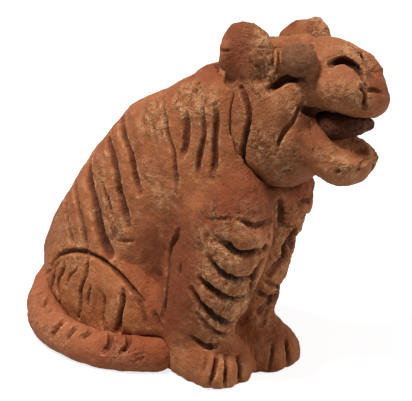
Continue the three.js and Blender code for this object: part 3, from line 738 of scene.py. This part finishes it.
HEAD_CUTS = [
    (2.8, 3.6, [(241, 88), (247, 105), (248.6, 120), (245, 137), (242, 157), (250, 174), (263, 185)]),  # ruff
    (3.6, 4.2, [(269, 90), (277, 84.5), (284, 79.5), (293, 78), (302, 77)]),  # the slit under the eye
    (2.2, 1.8, [(304, 100), (294, 119), (281, 137), (277.4, 151)]),  # down the cheek
    (1.8, 0.8, [(310, 122), (314.5, 144), (313, 155)]),
    (1.8, 1.0, [(282, 171), (292, 170)]),
    (1.8, 1.0, [(219, 51.4), (230, 50.8)]),
    (4.0, 4.0, [(305, 110), (320.5, 113.4), (336, 113)]),  # the corner of the mouth
    (1.6, 1.0, [(371, 157), (363, 161), (359, 168), (353, 176)]),
    (3.0, 4.2, [(331, 64.5), (336, 62), (342, 61), (350, 63.5), (357, 69), (362, 77), (366, 85), (367, 89)]),
    (2.2, 2.0, [(350, 46), (357, 50), (363.6, 61.6), (371, 71)]),  # down the nose
    (2.2, 2.0, [(368, 90), (375, 90), (382, 93)]),  # the nostril
    (2.4, 2.6, [(361, 86), (365, 95), (363.6, 108)]),  # the split of the lip
    (2.2, 2.0, [(311.5, 46), (313, 48)]),
    (2.6, 2.6, [(337, 171), (337.5, 173)]),
]
HEAD_ROUGH = [
    (8, 0.9, [(257, 30), (264, 63), (266, 80)]),
    (9, 0.8, [(335, 152), (348, 172)]),
    (10, 0.9, [(266, 145), (280, 165)]),
    (8, 0.6, [(320, 125), (335, 150)]),
    (5, 0.9, [(318, 22), (325, 32)]),
    (8, 0.5, [(300, 90), (290, 105)]),
    (8, 0.6, [(335, 98), (360, 98)]),
    (5, 0.6, [(345, 46), (368, 66)]),
]
HEAD_RUBBED = [
    (11, 1.0, [(238, 32), (240, 60)]),
    (9, 0.4, [(252, 100), (262, 130)]),
    (8, 0.7, [(382, 75), (386, 100)]),
    (9, 0.7, [(310, 122), (312, 150)]),
]
face_clay = fired("face clay", (0.285, 0.1, 0.038), (0.17, 0.046, 0.017), (0.52, 0.28, 0.14))
head_nodes = ["head", "lower_jaw", "right_ear", "left_ear", "nose_bridge", "right_whisker_pad",
              "left_whisker_pad"]
eyes = ["right_eye", "left_eye"]
head = lump("face", head_nodes, fineness=2 * MM, swell=0.5 * MM, softness=6, under=eyes)
both_cheeks = (None, HEAD_MIDDLE)
head_rough = patches(head, HEAD_ROUGH, both_cheeks)
mould(head, HEAD_SWELLINGS, both_cheeks)
mould(head, EARS_AND_BROW)
mould(head, JAW_PRESS, towards=photo_up)
keep(head, "rubbed_and_shade", patches(head, HEAD_RUBBED, both_cheeks))
carve(head, HEAD_CUTS, both_cheeks)
hand_marks(head, head_rough)
thinned(head, MOST_TRIANGLES)
place_piece(head, "fired_clay", face_clay, *head_nodes)

# EYES
# A pellet of clay as long as a thumb tip, pressed into the brow on each side, smoothed with a wet finger and
# fired a little greyer
eye_clay = fired("eye clay", (0.135, 0.052, 0.022), (0.11, 0.037, 0.015), (0.32, 0.17, 0.085),
                 (0.03, 0.009, 0.004))
for side in ["right", "left"]:
    eye = lump(f"{side}_pellet", [f"{side}_eye"], fineness=1.2 * MM, swell=0.3 * MM, softness=16)
    hand_marks(eye, rough=0.1, lumps=0.4)
    place_piece(eye, "fired_clay_eye", eye_clay, f"{side}_eye")

# TONGUE
# A slab of clay laid in the open mouth, with its tip pressed thinner. It is much darker than the rest: a
# greyer clay with the shade inside the mouth painted on it.
shaded_tongue_clay = fired("tongue clay", (0.07, 0.02, 0.009), (0.05, 0.013, 0.006), (0.13, 0.05, 0.026),
                    (0.012, 0.004, 0.002))
tongue = lump("tongue_slab", ["tongue"], fineness=1.2 * MM, swell=1.0 * MM)
TONGUE_TIP = [(10, -3.0, [(371, 122), (373, 127), (371, 132)])]
mould(tongue, TONGUE_TIP)
hand_marks(tongue, rough=0.4, lumps=0.5)
place_piece(tongue, "fired_clay_tongue", shaded_tongue_clay, "tongue")

# FLOOR AND LIGHT
# A plain floor and a room that look white, with the figure's shadow on the floor. A lamp above the figure's
# right side gives the light, and a weaker one in front of its left side fills it.
FLOOR_WIDTH = 6
bpy.ops.mesh.primitive_plane_add(size=FLOOR_WIDTH)
floor = bpy.context.object
floor.name = "floor"
floor_paint = bpy.data.materials.new("floor paint")
floor_paint.use_nodes = True
paint_nodes, paint_links = floor_paint.node_tree.nodes, floor_paint.node_tree.links
floor_shader = paint_nodes["Principled BSDF"]
floor_shader.inputs["Base Color"].default_value = (0.5, 0.5, 0.5, 1)
floor_shader.inputs["Roughness"].default_value = 0.9
floor_shader.inputs["Specular IOR Level"].default_value = 0.1
white = paint_nodes.new("ShaderNodeEmission")
white.inputs["Strength"].default_value = 0.8
seen = paint_nodes.new("ShaderNodeAddShader")
paint_links.new(floor_shader.outputs[0], seen.inputs[0])
paint_links.new(white.outputs[0], seen.inputs[1])


def only_seen(nodes, links, plain, backdrop):
    """A shader that shows the backdrop to the camera, also in gloss and through glass, and lights the
    object as the plain one"""
    rays = nodes.new("ShaderNodeLightPath")
    first = nodes.new("ShaderNodeMath")
    first.operation = "MAXIMUM"
    links.new(rays.outputs["Is Camera Ray"], first.inputs[0])
    links.new(rays.outputs["Is Glossy Ray"], first.inputs[1])
    second = nodes.new("ShaderNodeMath")
    second.operation = "MAXIMUM"
    links.new(first.outputs[0], second.inputs[0])
    links.new(rays.outputs["Is Transmission Ray"], second.inputs[1])
    choice = nodes.new("ShaderNodeMixShader")
    links.new(second.outputs[0], choice.inputs[0])
    links.new(plain.outputs[0], choice.inputs[1])
    links.new(backdrop.outputs[0], choice.inputs[2])
    return choice


paint_links.new(only_seen(paint_nodes, paint_links, floor_shader, seen).outputs[0],
                paint_nodes["Material Output"].inputs["Surface"])
floor.data.materials.append(floor_paint)


def lamp(place, aim, size, power):
    """A round lamp, of a size in metres and a power in watts"""
    bpy.ops.object.light_add(type="AREA", location=place)
    light = bpy.context.object
    light.rotation_euler = (Vector(aim) - Vector(place)).to_track_quat("-Z", "Y").to_euler()
    light.data.shape = "DISK"
    light.data.size = size
    light.data.energy = power


lamp(place=(-0.45, 0.05, 1.15), aim=(0, 0, 0.09), size=0.25, power=20.5)
lamp(place=(0.68, -1.03, 0.45), aim=(0, -0.04, 0.1), size=0.45, power=8.5)

world = bpy.data.worlds.new("soft room")
bpy.context.scene.world = world
world.use_nodes = True
world_nodes, world_links = world.node_tree.nodes, world.node_tree.links
room = world_nodes["Background"]
room.inputs["Strength"].default_value = 0.17
room.inputs["Color"].default_value = (1, 1, 1, 1)
backdrop = world_nodes.new("ShaderNodeBackground")
backdrop.inputs["Color"].default_value = (1, 1, 1, 1)
backdrop.inputs["Strength"].default_value = 1
world_links.new(only_seen(world_nodes, world_links, room, backdrop).outputs[0],
                world_nodes["World Output"].inputs["Surface"])
bpy.context.scene.view_settings.view_transform = "Standard"
